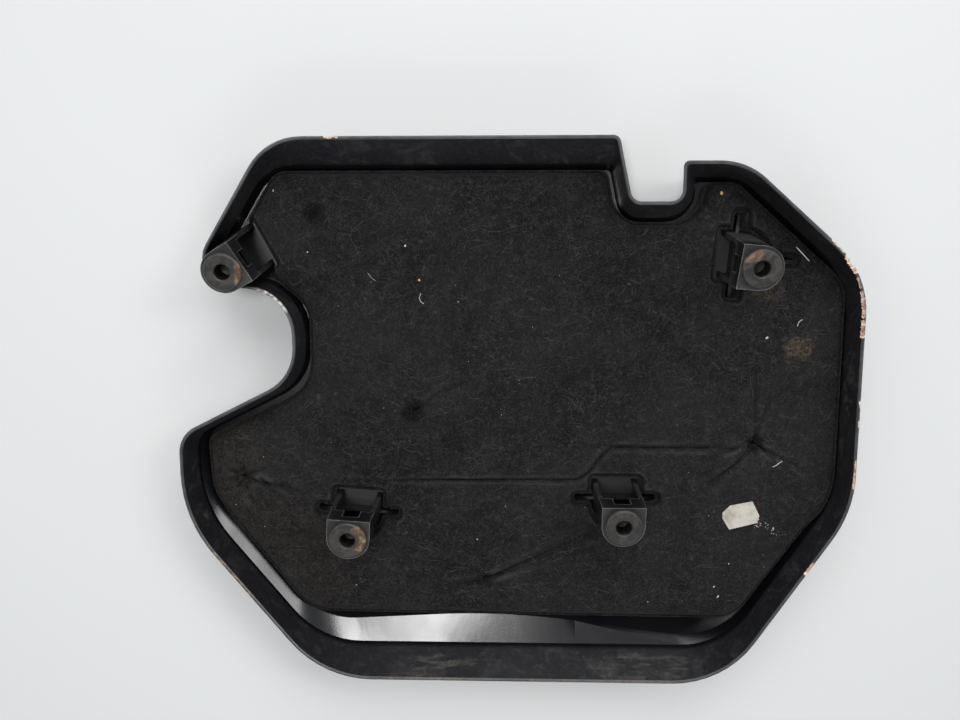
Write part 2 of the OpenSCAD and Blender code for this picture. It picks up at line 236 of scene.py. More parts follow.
# Materials
class Nodes:
    """Short way to write a node material."""

    def __init__(self, name):
        self.mat = bpy.data.materials.new(name)
        self.mat.use_nodes = True
        self.tree = self.mat.node_tree
        self.tree.nodes.clear()
        self.out = self.tree.nodes.new("ShaderNodeOutputMaterial")
        self.bsdf = self.add("ShaderNodeBsdfPrincipled")
        self.link(self.bsdf.outputs[0], self.out.inputs[0])
        self.coord = self.add("ShaderNodeTexCoord").outputs["Object"]

    def add(self, kind, **settings):
        node = self.tree.nodes.new(kind)
        for key, value in settings.items():
            setattr(node, key, value)
        return node

    def link(self, a, b):
        self.tree.links.new(a, b)

    def put(self, socket, value):
        if isinstance(value, bpy.types.NodeSocket):
            self.link(value, socket)
        else:
            socket.default_value = value

    def math(self, op, a, b=0.0, c=0.0, clamp=False):
        node = self.add("ShaderNodeMath", operation=op, use_clamp=clamp)
        for k, v in enumerate((a, b, c)):
            self.put(node.inputs[k], v)
        return node.outputs[0]

    def vec(self, op, a, b=(0, 0, 0), scale=1.0):
        node = self.add("ShaderNodeVectorMath", operation=op)
        self.put(node.inputs[0], a)
        if op not in ("LENGTH",):
            self.put(node.inputs[1], b)
        if op == "SCALE":
            node.inputs[3].default_value = scale
        return node.outputs["Value" if op in ("LENGTH", "DISTANCE", "DOT_PRODUCT") else "Vector"]

    def noise(self, scale, detail=3.0, rough=0.5, distort=0.0, coord=None, color=False):
        node = self.add("ShaderNodeTexNoise")
        self.link(coord or self.coord, node.inputs["Vector"])
        node.inputs["Scale"].default_value = scale
        node.inputs["Detail"].default_value = detail
        node.inputs["Roughness"].default_value = rough
        node.inputs["Distortion"].default_value = distort
        return node.outputs["Color" if color else "Fac"]

    def ramp(self, value, low, high, a=0.0, b=1.0):
        node = self.add("ShaderNodeMapRange", interpolation_type="SMOOTHSTEP")
        self.put(node.inputs["Value"], value)
        node.inputs["From Min"].default_value = low
        node.inputs["From Max"].default_value = high
        node.inputs["To Min"].default_value = a
        node.inputs["To Max"].default_value = b
        return node.outputs[0]

    def mix(self, fac, a, b):
        node = self.add("ShaderNodeMix", data_type="RGBA")
        self.put(node.inputs[0], fac)
        for k, v in ((6, a), (7, b)):
            self.put(node.inputs[k], v if isinstance(v, bpy.types.NodeSocket) else (*v, 1))
        return node.outputs[2]

    def threads(self, scale, width, seed=0.0, distort=1.0):
        """Fine curling lines, as of fibres: where a noise crosses its middle value."""
        shift = self.vec("ADD", self.coord, (seed, seed * 0.7, 0))
        n = self.noise(scale, 1.5, 0.5, distort, coord=shift)
        return self.ramp(self.math("ABSOLUTE", self.math("SUBTRACT", n, 0.5)), 0.0, width, 1.0, 0.0)

    def patch(self, centre, radius, ragged=0.5, scale=60, seed=0.0):
        """Ragged spot round a point of the object, given in millimetres."""
        at = self.vec("SUBTRACT", self.coord, [v * MM for v in centre])
        at = self.vec("DIVIDE", at, [v * MM for v in radius])
        shift = self.vec("ADD", self.coord, (seed, 0, 0))
        n = self.noise(scale, 5, 0.6, coord=shift)
        fray = self.math("MULTIPLY", self.math("SUBTRACT", n, 0.5), ragged * 2)
        return self.ramp(self.math("ADD", self.vec("LENGTH", at), fray), 0.6, 1.0, 1.0, 0.0)

    def most(self, *values):
        out = values[0]
        for v in values[1:]:
            out = self.math("MAXIMUM", out, v)
        return out

    def both(self, *values):
        out = values[0]
        for v in values[1:]:
            out = self.math("MULTIPLY", out, v)
        return out

    def edges(self, radius):
        """One near an edge of the mesh and nought on its flat faces."""
        round_edge = self.add("ShaderNodeBevel", samples=6)
        round_edge.inputs["Radius"].default_value = radius * MM
        true = self.add("ShaderNodeNewGeometry").outputs["True Normal"]
        dot = self.vec("DOT_PRODUCT", round_edge.outputs[0], true)
        return self.ramp(dot, 0.86, 0.985, 1.0, 0.0)

    def bump(self, height, strength, distance, normal=None):
        node = self.add("ShaderNodeBump")
        node.inputs["Strength"].default_value = strength
        node.inputs["Distance"].default_value = distance
        self.link(height, node.inputs["Height"])
        if normal is not None:
            self.link(normal, node.inputs["Normal"])
        return node.outputs[0]


def shell_material():
    m = Nodes("moulded_black_plastic")
    z = m.add("ShaderNodeSeparateXYZ")
    m.link(m.coord, z.inputs[0])
    height = z.outputs[2]
    grain = m.noise(900, 2, 0.5)
    cloud = m.noise(14, 4, 0.55, 0.4)
    film = m.ramp(m.noise(55, 7, 0.7, 0.8), 0.44, 0.70)
    fine = m.ramp(m.noise(420, 4, 0.7), 0.45, 0.72)
    base = m.mix(cloud, (0.0024, 0.0025, 0.0036), (0.0048, 0.005, 0.0068))
    on_wall = m.ramp(height, 0.008, 0.014)
    dust = m.both(m.ramp(film, 0, 1, 0.45, 1.0), m.ramp(fine, 0, 1, 0.55, 1.0),
                  m.ramp(on_wall, 0, 1, 0.035, 0.78))
    colour = m.mix(dust, base, (0.05, 0.0495, 0.053))
    smear = m.most(
        m.patch((-52, -178, 22), (40, 9, 13), 0.75, 46),
        m.patch((92, -177, 22), (58, 9, 13), 0.8, 52, 0.3),
        m.patch((-206, -62, 20), (12, 16, 16), 0.9, 80, 0.7),
        m.patch((150, 166, 24), (30, 7, 12), 1.0, 90, 0.9),
        m.patch((216, 10, 20), (6, 44, 14), 1.0, 90, 1.3),
    )
    streak = m.ramp(m.noise(1.0, 4, 0.6, coord=m.vec("MULTIPLY", m.coord, (60, 260, 260))), 0.42, 0.66)
    smear = m.both(smear, streak)
    colour = m.mix(m.both(smear, m.ramp(fine, 0, 1, 0.25, 0.6)), colour, (0.12, 0.105, 0.086))
    # the plates on the towers hold a tan dust; the towers' insides get painted shade
    plates, shaded_insides = [], []
    for x, y, _, lean, *_ in TOWERS.values():
        t = math.radians(lean)
        off = m.vec("SUBTRACT", m.coord, (x * MM, y * MM, TOWER_Z * MM))
        up = m.vec("DOT_PRODUCT", off, (0, -math.sin(t), math.cos(t)))
        on_tower = m.patch((x, y, TOWER_Z), (34, 34, 20), 0.0)
        plates.append(m.both(m.ramp(up, -0.0013, -0.0004), on_tower))
        shaded_insides.append(m.patch((x, y + 26 * math.tan(t), 24), (23.5, 23.5, 60), 0.0))
    tower = m.both(m.most(*plates), m.ramp(m.noise(130, 5, 0.7), 0.35, 0.7, 0.35, 1.0))
    colour = m.mix(m.both(m.ramp(height, 0.0352, 0.037), 0.55), colour, (0.016, 0.0155, 0.0175))
    colour = m.mix(m.both(tower, 0.6), colour, (0.078, 0.07, 0.058))
    # painted shade: the insides of the towers are darkened
    colour = m.mix(m.most(*shaded_insides), colour, (0.0028, 0.003, 0.0042))
    # painted shade on the ribs deep in the slits
    slit_shade = m.most(*[m.both(m.patch((x, y + 5, 10), (70, 70, 40), 0.0),
                           m.math("SUBTRACT", 1.0, m.patch((x, y + 5, 10), (22, 22, 40), 0.0)))
                    for x, y, *_ in TOWERS.values()])
    slit_shade = m.both(slit_shade, m.ramp(height, 0.0125, 0.0135, 1.0, 0.0), m.ramp(height, 0.008, 0.010))
    colour = m.mix(slit_shade, colour, (0.002, 0.002, 0.003))
    # lip of the rim, paler in patches, with a tan line and a scuff beside the bay, and painted highlight
    # on the towers' edges
    lip = m.both(m.ramp(height, 0.0331, 0.0338), m.ramp(height, 0.0341, 0.0345, 1.0, 0.0))
    pale_lip = m.both(lip, m.ramp(m.noise(70, 5, 0.7), 0.38, 0.62, 0.25, 0.8))
    colour = m.mix(pale_lip, colour, (0.075, 0.075, 0.078))
    tan_line = m.most(
        m.patch((-196, -110, 34), (26, 34, 6), 0.3, 200),
        m.both(m.patch((-60, -182, 34), (45, 5, 6), 0.8, 120, 0.4), 0.3),
        m.both(m.patch((60, -182, 34), (70, 5, 6), 1.0, 160, 0.8), 0.2),
    )
    tan_line = m.both(tan_line, lip, m.ramp(m.noise(260, 4), 0.42, 0.6, 0.0, 0.8))
    colour = m.mix(tan_line, colour, (0.26, 0.16, 0.09))
    scuff = m.patch((-156, 78, 34), (15, 13, 8), 0.5, 150, 0.6)
    scuff = m.both(scuff, lip, m.ramp(m.noise(300, 4), 0.4, 0.55, 0.2, 1.0))
    colour = m.mix(scuff, colour, (0.55, 0.53, 0.48))
    # painted highlight along the towers' edges, which also pales their inner corners as dust
    edge = m.both(m.edges(0.9), m.ramp(height, 0.0345, 0.037),
                  m.ramp(m.noise(120, 4), 0.3, 0.7, 0.4, 0.95))
    colour = m.mix(edge, colour, (0.25, 0.24, 0.22))
    m.put(m.bsdf.inputs["Base Color"], colour)
    rough = m.math("ADD", m.ramp(cloud, 0.3, 0.7, 0.17, 0.25), m.ramp(on_wall, 0, 1, 0.0, 0.12))
    rough = m.math("ADD", rough, m.both(m.most(dust, smear, tower), 0.35))
    # the tray beside the upper left tower and the towers' insides are clean and mirror the dark room
    beside = m.patch((-163, 106, 8), (42, 42, 30), 0.0)
    under = m.ramp(height, 0.040, 0.044, 1.0, 0.0)
    clean = m.both(m.most(slit_shade, beside, shaded_insides[0], shaded_insides[1], shaded_insides[3]), under)
    rough = m.both(rough, m.ramp(clean, 0, 1, 1.0, 0.35))
    # floor and walls before the open sides are dull, so that they mirror no lamp
    opening = []
    for x, y, heading, *_ in TOWERS.values():
        h = math.radians(heading)
        opening.append(m.patch((x + 17 * math.cos(h), y + 5 + 17 * math.sin(h), 8), (30, 30, 50), 0.0))
    dull = m.both(m.most(shaded_insides[2], *opening), under)
    rough = m.math("ADD", rough, m.both(dull, 0.4))
    m.put(m.bsdf.inputs["Roughness"], rough)
    m.bsdf.inputs["IOR"].default_value = 1.5
    m.bsdf.inputs["Specular IOR Level"].default_value = 0.65
    m.put(m.bsdf.inputs["Normal"], m.bump(grain, 0.05, 0.0004, m.bump(cloud, 0.16, 0.002)))
    return m.mat


def raw_material():
    """Bared plastic where the rim is chipped."""
    m = Nodes("bared_plastic")
    colour = m.mix(m.ramp(m.noise(190, 4, 0.6), 0.4, 0.62), (0.5, 0.32, 0.23), (0.75, 0.64, 0.53))
    colour = m.mix(m.ramp(m.noise(420, 3, 0.6), 0.62, 0.74), colour, (0.2, 0.1, 0.06))
    m.put(m.bsdf.inputs["Base Color"], colour)
    m.bsdf.inputs["Roughness"].default_value = 0.8
    m.put(m.bsdf.inputs["Normal"], m.bump(m.noise(700, 3), 0.5, 0.0004))
    return m.mat


def strand_material():
    m = Nodes("felt_fibres")
    colour = m.mix(m.ramp(m.noise(55, 3, 0.6), 0.38, 0.64), (0.04, 0.039, 0.038), (0.15, 0.142, 0.128))
    m.put(m.bsdf.inputs["Base Color"], colour)
    m.put(m.bsdf.inputs["Roughness"], m.ramp(m.noise(300), 0.3, 0.7, 0.7, 0.9))
    m.bsdf.inputs["Specular IOR Level"].default_value = 0.2
    return m.mat


def lint_material():
    m = Nodes("pale_lint")
    colour = m.mix(m.noise(240, 3), (0.42, 0.41, 0.37), (0.7, 0.68, 0.62))
    gold = m.most(m.patch((-63.7, 91.2, 15), (4, 4, 8), 0.0), m.patch((134.3, 147.6, 13), (5, 5, 8), 0.0))
    m.put(m.bsdf.inputs["Base Color"], m.mix(gold, colour, (0.62, 0.42, 0.1)))
    m.put(m.bsdf.inputs["Roughness"], m.ramp(m.noise(300), 0.3, 0.7, 0.6, 0.85))
    return m.mat


def felt_material():
    m = Nodes("charcoal_felt")
    cloud = m.noise(16, 5, 0.62, 0.5)
    speck = m.noise(620, 3, 0.7)
    clump = m.noise(150, 4, 0.65, 0.8)
    # fibres of three lengths in loose patches, and a fine layer all over
    layers = [m.both(m.threads(300, 0.03, 6.3, 0.8), 0.6)]
    for scale, width, seed, curl, patches, shift, low, high in (
            (70, 0.009, 0.0, 1.8, 45, (0, 0, 0), 0.48, 0.66),
            (115, 0.012, 1.7, 1.6, 75, (3, 1, 0), 0.46, 0.64),
            (190, 0.018, 4.1, 1.2, 110, (5, 2, 0), 0.42, 0.62)):
        where = m.noise(patches, 2, coord=m.vec("ADD", m.coord, shift))
        layers.append(m.both(m.threads(scale, width, seed, curl), m.ramp(where, low, high)))
    fibres = m.most(*layers)
    base = m.mix(m.ramp(cloud, 0.3, 0.7), (0.0046, 0.0046, 0.0056), (0.0125, 0.0122, 0.0123))
    base = m.mix(m.ramp(clump, 0.45, 0.75, 0.0, 0.7), base, (0.021, 0.0202, 0.0202))
    base = m.mix(m.ramp(speck, 0.5, 0.75, 0.0, 0.7), base, (0.029, 0.028, 0.0275))
    # painted shade in the valleys of the creases and painted highlight on their crests
    crease = m.add("ShaderNodeAttribute", attribute_name="crease").outputs["Fac"]
    base = m.mix(m.ramp(crease, 0.05, 0.9, 0.0, 0.75), base, (0.042, 0.041, 0.04))
    base = m.mix(m.ramp(crease, -0.9, -0.05, 0.85, 0.0), base, (0.002, 0.002, 0.0025))
    # painted shade in the felt pinched into the tacked points
    pinch_shade = m.most(*[
        m.both(m.patch((x, y, 10), (1.7 * radius, 1.7 * radius, 20), 0.3, 120), min(1, depth / 6))
        for x, y, depth, radius in TACKS])
    base = m.mix(m.both(pinch_shade, 0.85), base, (0.002, 0.002, 0.0025))
    # beige dirt towards the left tip and under the upper right tower
    dirt = m.most(
        m.both(m.patch((-204, -30, 12), (38, 60, 40), 0.9, 30), 0.2),
        m.patch((190, 47, 14), (13, 9, 30), 0.9, 120, 0.5),
        m.both(m.patch((-160, -100, 12), (60, 60, 40), 1.0, 25, 0.2), 0.14),
        m.both(m.patch((168, 84, 12), (14, 10, 30), 0.8, 80, 0.8), 0.6),
    )
    grit = m.ramp(m.noise(380, 4, 0.75, coord=m.vec("ADD", m.coord, (0.4, 0, 0))), 0.42, 0.66)
    base = m.mix(m.both(dirt, grit), base, (0.1, 0.072, 0.045))
    # the pale fibres are dimmed by painted shade in the valleys and pinches
    open_to_light = m.math("SUBTRACT", m.ramp(crease, -0.6, 0.0, 0.3, 1.0), m.both(pinch_shade, 0.7))
    lit = m.math("MULTIPLY", fibres, open_to_light, clamp=True)
    colour = m.mix(m.both(lit, 0.58), base, (0.075, 0.071, 0.066))
    m.put(m.bsdf.inputs["Base Color"], colour)
    m.bsdf.inputs["Roughness"].default_value = 0.95
    m.bsdf.inputs["Specular IOR Level"].default_value = 0.12
    m.bsdf.inputs["Sheen Weight"].default_value = 0.06
    m.bsdf.inputs["Sheen Roughness"].default_value = 0.5
    height = m.math("ADD", m.both(fibres, 0.5), clump)
    height = m.math("ADD", height, m.both(speck, 0.4))
    m.put(m.bsdf.inputs["Normal"], m.bump(height, 0.7, 0.0009, m.bump(cloud, 0.4, 0.004)))
    return m.mat


def rubber_material():
    m = Nodes("black_rubber")
    cloud = m.noise(70, 5, 0.6)
    dust = m.ramp(m.noise(160, 6, 0.7, 0.5), 0.42, 0.7)
    base = m.mix(cloud, (0.02, 0.02, 0.021), (0.034, 0.033, 0.032))
    colour = m.mix(m.both(dust, 0.5), base, (0.085, 0.074, 0.06))
    # rusty arcs left by the studs, on the ring between the bore and the flange's edge
    rust = m.most(*[
        m.both(m.patch(place, reach, 0.25, 170, seed), strength)
        for place, reach, seed, strength in (
            ((-100.5, -74.5, 52), (7.5, 12, 9), 0.0, 1.0), ((141.5, 107.5, 51), (12, 7, 8), 0.3, 0.7),
            ((-171.5, 94, 49), (5, 14, 10), 0.6, 0.9))])
    x, y = TOWERS["lower_left"][:2]
    ring = m.math("SUBTRACT", 1.0, m.patch((x, y, 51), (9.5, 9.5, 30), 0.12, 200))
    rust_grain = m.ramp(m.noise(420, 3), 0.35, 0.6, 0.35, 0.85)
    tint = m.mix(m.ramp(m.noise(260, 4, 0.6), 0.42, 0.62), (0.12, 0.05, 0.02), (0.34, 0.22, 0.12))
    colour = m.mix(m.both(rust, ring, rust_grain), colour, tint)
    # painted highlight along the grommets' edges
    colour = m.mix(m.both(m.edges(0.5), 0.75), colour, (0.2, 0.19, 0.17))
    # painted shade inside the bores
    bore_shade = m.most(*[m.patch((x, y + 1.5, 43.5), (11, 11, 13), 0.0) for x, y, *_ in TOWERS.values()])
    colour = m.mix(bore_shade, colour, (0.002, 0.002, 0.002))
    m.put(m.bsdf.inputs["Base Color"], colour)
    m.put(m.bsdf.inputs["Roughness"], m.ramp(m.most(dust, rust), 0, 1, 0.4, 0.75))
    m.put(m.bsdf.inputs["Normal"], m.bump(m.noise(500, 3), 0.2, 0.0004))
    return m.mat


def paper_material():
    m = Nodes("worn_paper")
    stain = m.noise(120, 5, 0.65)
    colour = m.mix(m.ramp(stain, 0.4, 0.72), (0.56, 0.53, 0.47), (0.33, 0.30, 0.25))
    m.put(m.bsdf.inputs["Base Color"], colour)
    m.bsdf.inputs["Roughness"].default_value = 0.8
    m.put(m.bsdf.inputs["Normal"], m.bump(m.noise(260, 4), 0.3, 0.0006))
    return m.mat


SHELL, FELT, RUBBER, PAPER = shell_material(), felt_material(), rubber_material(), paper_material()
RAW, STRAND, LINT = raw_material(), strand_material(), lint_material()


# Shell
def copy_of(node, name, material, angle):
    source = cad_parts[node]
    mesh = source.data.copy()
    mesh.materials.clear()
    mesh.name = name
    obj = link(name, mesh, material)
    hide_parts(node)
    bm = bmesh.new()
    bm.from_mesh(mesh)
    bmesh.ops.remove_doubles(bm, verts=bm.verts, dist=1e-6)
    bm.to_mesh(mesh)
    bm.free()
    if mesh.has_custom_normals:
        with bpy.context.temp_override(object=obj, active_object=obj, selected_objects=[obj]):
            bpy.ops.mesh.customdata_custom_splitnormals_clear()
    mesh.polygons.foreach_set("use_smooth", [True] * len(mesh.polygons))
    mesh.set_sharp_from_angle(angle=math.radians(angle))
    return obj


def eased(obj, width, angle=38, segments=2):
    """Take the sharp edges off, so that they catch the light."""
    mod = obj.modifiers.new("eased edges", "BEVEL")
    mod.width = width * MM
    mod.segments = segments
    mod.limit_method = "ANGLE"
    mod.angle_limit = math.radians(angle)
    mod.use_clamp_overlap = True
    apply_modifiers(obj)


def apply_modifiers(obj):
    graph = bpy.context.evaluated_depsgraph_get()
    mesh = bpy.data.meshes.new_from_object(obj.evaluated_get(graph))
    obj.modifiers.clear()
    obj.data = mesh


def chip_cutters(on):
    """Ragged lumps along the broken stretches of the rim."""
    r = np.random.default_rng(3)
    bm = bmesh.new()
    for start, end, width, depth in CHIPS:
        a, b = Vector((*start, RIM_Z)), Vector((*end, RIM_Z))
        along = (b - a).normalized()
        length = (b - a).length
        count = max(2, round(length / CHIP_SPACING))
        for k in range(count):
            at = a.lerp(b, (k + 0.5) / count)
            _, near, _, _ = on.closest_point_on_mesh(at * MM)
            near = near / MM
            half = (0.75 * length / count, width * r.uniform(0.6, 1.25), depth * r.uniform(0.6, 1.25))
            out = bmesh.ops.create_icosphere(bm, subdivisions=2, radius=1.0)["verts"]
            side = Vector((-along.y, along.x, 0))
            for v in out:
                p = v.co * r.uniform(0.86, 1.12)
                v.co = (Vector((near.x, near.y, RIM_Z)) + along * p.x * half[0]
                        + side * p.y * half[1] + Vector((0, 0, p.z * half[2]))) * MM
    mesh = bpy.data.meshes.new("chip_cutters")
    bm.to_mesh(mesh)
    bm.free()
    mesh.materials.append(RAW)
    obj = bpy.data.objects.new("chip_cutters", mesh)
    bpy.context.scene.collection.objects.link(obj)
    return obj


SHELL_EASE = 0.28       # width of the shell's eased edges
GROMMET_EASE = 0.3      # width of the grommets' eased edges
WELD = 4e-6             # points closer than this are joined, in metres
SHARP = 14              # angle from which an edge of the shell is sharp

shell = copy_of("cover_shell", "moulded_shell", SHELL, 24)
eased(shell, SHELL_EASE)
cutters = chip_cutters(shell)
mod = shell.modifiers.new("chips", "BOOLEAN")
mod.operation = "DIFFERENCE"
mod.solver = "EXACT"
mod.use_self = True
mod.material_mode = "TRANSFER"
mod.object = cutters
apply_modifiers(shell)
bpy.data.objects.remove(cutters)
bm = bmesh.new()
bm.from_mesh(shell.data)
bmesh.ops.remove_doubles(bm, verts=bm.verts, dist=WELD)
bmesh.ops.dissolve_degenerate(bm, dist=WELD / 2, edges=bm.edges)
bmesh.ops.triangulate(bm, faces=[f for f in bm.faces if len(f.verts) > 4])
bmesh.ops.delete(bm, geom=[e for e in bm.edges if not e.link_faces], context="EDGES")
bmesh.ops.split_edges(bm, edges=[e for e in bm.edges if len(e.link_faces) > 2])
bm.to_mesh(shell.data)
bm.free()
shell.data.polygons.foreach_set("use_smooth", [True] * len(shell.data.polygons))
shell.data.set_sharp_from_angle(angle=math.radians(SHARP))
shell.modifiers.new("weighted normals", "WEIGHTED_NORMAL").keep_sharp = True


# Felt-faced pad
def tower_axis(place, z):
    """Middle of a tower at a height."""
    return np.array([place[0], place[1] + (TOWER_Z - z) * math.tan(math.radians(place[3]))])


def ray_out(th, ahead, behind, half_side, centre=(0.0, 0.0)):
    """Distance along each direction to the far side of a rectangle that holds the start point."""
    c, s = np.cos(th), np.sin(th)
    lo = np.array([centre[0] - behind, centre[1] - half_side])
    hi = np.array([centre[0] + ahead, centre[1] + half_side])
    with np.errstate(divide="ignore"):
        tx = np.where(c > 0, hi[0] / c, np.where(c < 0, lo[0] / c, 1e9))
        ty = np.where(s > 0, hi[1] / s, np.where(s < 0, lo[1] / s, 1e9))
    return np.minimum(tx, ty)


HOLE_HALF = 16.3      # half width of a cut-out round a tower
HOLE_FRONT = 16.5     # its reach before the axis
SLIT_HALF = 2.2       # half width of the slit over the rib behind a tower
SLIT_SPARE = 1.0      # room at the ends of the slits over a cross rib


def hole_outline(place):
    """Cut-out round a tower: its D shape, its open front and the slits over its ribs."""
    _, _, heading, _, reach, half, offset = place
    c = tower_axis(place, 9)
    th = np.linspace(-math.pi, math.pi, 7200, endpoint=False)
    r = np.full(len(th), HOLE_HALF)
    r = np.maximum(r, ray_out(th, HOLE_FRONT, 1.0, HOLE_HALF))
    across = half + SLIT_SPARE
    r = np.maximum(r, ray_out(th, 2.6, 2.2, across, (offset + 0.6, 0.0)) if offset < 2
                   else ray_out(th, offset + 3.2, 2.0 - offset, across))
    if reach:
        r = np.maximum(r, ray_out(th, 1, reach + 2.0, SLIT_HALF))
    a = th + math.radians(heading)
    loop = c + np.stack([r * np.cos(a), r * np.sin(a)], 1)
    return soften(resample(loop, 0.7), 6)


def groove(pts, path, depth, width, ridge=0.4, taper=True):
    """A crease along a path of points, with a soft ridge on both sides, fading to its end."""
    path = np.array(path, float)
    seg = np.linalg.norm(np.diff(path, axis=0), axis=1)
    total = seg.sum()
    best = np.full(len(pts), 1e9)
    along = np.zeros(len(pts))
    start = 0.0
    for k in range(len(seg)):
        d = path[k + 1] - path[k]
        t = np.clip(((pts - path[k]) @ d) / (d @ d), 0, 1)
        e = np.linalg.norm(pts - path[k] - t[:, None] * d, axis=1)
        near = e < best
        best = np.where(near, e, best)
        along = np.where(near, (start + t * seg[k]) / total, along)
        start += seg[k]
    fade = (1 - along) ** 0.8 if taper else np.minimum(1, 12 * np.minimum(along + 0.02, 1.02 - along))
    wide = width * (0.55 + 0.6 * along)
    cut = np.exp(-(best / wide) ** 1.3)
    lift = np.exp(-((best - 2.4 * wide) / (1.4 * wide)) ** 2)
    return fade * depth * (-cut + ridge * lift)


THINNEST = 1.2        # least thickness of the felt over the step in the floor


def pad_height(p, edge, holes):
    """Height of the felt over the styled face, from the distances to the pad's edge and cut-outs."""
    # along the right side the felt meets the skirt high up, elsewhere it ends in a thin flange
    right_side = smooth(p[:, 0], 196, 214) * smooth(p[:, 1], -90, -60) * (1 - smooth(p[:, 1], 86, 104))
    low = EDGE_Z + 5.6 * right_side
    flange = 2.4 * (1 - right_side)
    width = 12.0 - 5.0 * right_side
    t = np.clip((edge - flange) / width, 0, 1)
    z = low + (PAD_Z - 0.6 - low) * np.sqrt(np.clip(1 - (1 - t) ** 2.6, 0, 1))
    # a rolled lip on the flange and a groove behind it
    z += 0.5 * np.exp(-((edge - 0.7) / 0.6) ** 2) - 0.5 * np.exp(-((edge - flange - 0.1) / 0.7) ** 2)
    # the face is uneven and rises over the step in the floor
    inner = smooth(edge, 10, 40)
    z += inner * (0.4 * waves(p, 70, 3) + 0.3 * waves(p, 26, 5)) + 0.08 * waves(p, 9, 8)
    z += inner * 0.3 * smooth(signed_distance(p, PANEL_LOOP), -3, 2)
    z += groove(p, STEP, 2.2, 1.1, 0.3, taper=False) * smooth(edge, 4, 12)
    # each tacked point is a pinch in a wide shallow dish
    for x, y, depth, radius in TACKS:
        r = np.hypot(p[:, 0] - x, p[:, 1] - y)
        z -= depth * np.exp(-(r / radius) ** 2.2) + 0.22 * depth * np.exp(-(r / (3.4 * radius)) ** 2)
    for path, depth, width in FOLDS:
        z += 1.35 * groove(p, path, depth, width, 0.4) * smooth(edge, 2, 9)
    # the felt is pressed down in a trench round every cut-out
    z += 0.5 * np.exp(-((holes - 4.2) / 1.0) ** 2)
    z -= 2.7 * (1 - smooth(holes, 2.4, 3.9)) + 1.3 * (1 - smooth(holes, 0.2, 1.5))
    z -= 0.7 * (1 - smooth(holes, 0, 13))
    z = np.where(edge > 4, np.maximum(z, PAD_LOW + PANEL_RISE + THINNEST), z)
    return np.minimum(z, PAD_Z + 1.6)


def painted_crease_shading(p, edge, holes):
    """Painted highlight on the felt's crests and ridges and painted shade in its valleys and grooves, from
    -1 to 1.
    """
    tone = 1.2 * groove(p, STEP, 1.0, 1.3, 0.5, taper=False)
    for path, depth, width in FOLDS:
        tone += 0.75 * groove(p, path, depth, 1.15 * width, 0.55)
    tone *= 0.8 + 0.3 * waves(p, 16, 12)
    tone = np.where(tone > 0, tone * smooth(tack_distance(p), 1.0, 2.2), tone)
    ring = np.clip(0.55 + 0.45 * waves(p, 12, 14) + 0.25 * waves(p, 40, 15), 0.1, 1.1)
    tone += 0.75 * ring * np.exp(-((holes - 4.2) / 0.8) ** 2) - 0.65 * np.exp(-((holes - 2.3) / 1.2) ** 2)
    tone += 0.6 * ring * np.exp(-(edge / 0.9) ** 2) - 0.8 * np.exp(-((edge - 2.6) / 1.0) ** 2) * (edge < 6)
    return np.clip(tone, -1, 1)


def crease_distance(p):
    """Distance to the nearest crease."""
    best = np.full(len(p), 1e9)
    for path in [STEP] + [f[0] for f in FOLDS]:
        for a, b in zip(np.array(path[:-1], float), np.array(path[1:], float)):
            t = np.clip(((p - a) @ (b - a)) / ((b - a) @ (b - a)), 0, 1)
            best = np.minimum(best, np.linalg.norm(p - a - t[:, None] * (b - a), axis=1))
    return best


def tack_distance(p):
    """Distance to the nearest tacked point, in radii of its pinch."""
    return np.min([np.hypot(p[:, 0] - x, p[:, 1] - y) / r for x, y, _, r in TACKS], axis=0)


def floor_height(p):
    """Height of the tray floor under the pad, a little inside the felt."""
    return PAD_LOW + PANEL_RISE * smooth(signed_distance(p, PANEL_LOOP), -1.0, 0.4)


def hex_points(step, lo, hi):
    rows = np.arange(lo[1], hi[1], step * math.sqrt(3) / 2)
    out = []
    for k, y in enumerate(rows):
        xs = np.arange(lo[0], hi[0], step) + (step / 2 if k % 2 else 0)
        out.append(np.stack([xs, np.full(len(xs), y)], 1))
    return np.vstack(out)


def fill(loops, pts, keep):
    """Points and triangles between closed outlines, using the given inner points."""
    verts, edges = [], []
    for loop in loops:
        base = len(verts)
        verts += [Vector(v) for v in loop]
        edges += [(base + k, base + (k + 1) % len(loop)) for k in range(len(loop))]
    verts += [Vector(v) for v in pts]
    out, _, faces, *_ = delaunay_2d_cdt(verts, edges, [], 0, 1e-5)
    xy = np.array([tuple(v) for v in out])
    faces = np.array([f for f in faces if len(f) == 3])
    return xy, faces[keep(xy[faces].mean(1))]


PANEL_LOOP = rounded(PANEL, 2.5)
PAD_LOOP = rounded(PAD, 1.5)
HOLES = [hole_outline(p) for p in TOWERS.values()]


def edge_distance(p):
    return signed_distance(p, PAD_LOOP)


def hole_distance(p):
    return -np.max([signed_distance(p, h) for h in HOLES], axis=0)


def within(p):
    """Distances to the pad's edge and to its cut-outs, nought outside the pad."""
    return np.maximum(edge_distance(p), 0), np.maximum(hole_distance(p), 0)


def felt_height(p):
    return pad_height(p, *within(p))


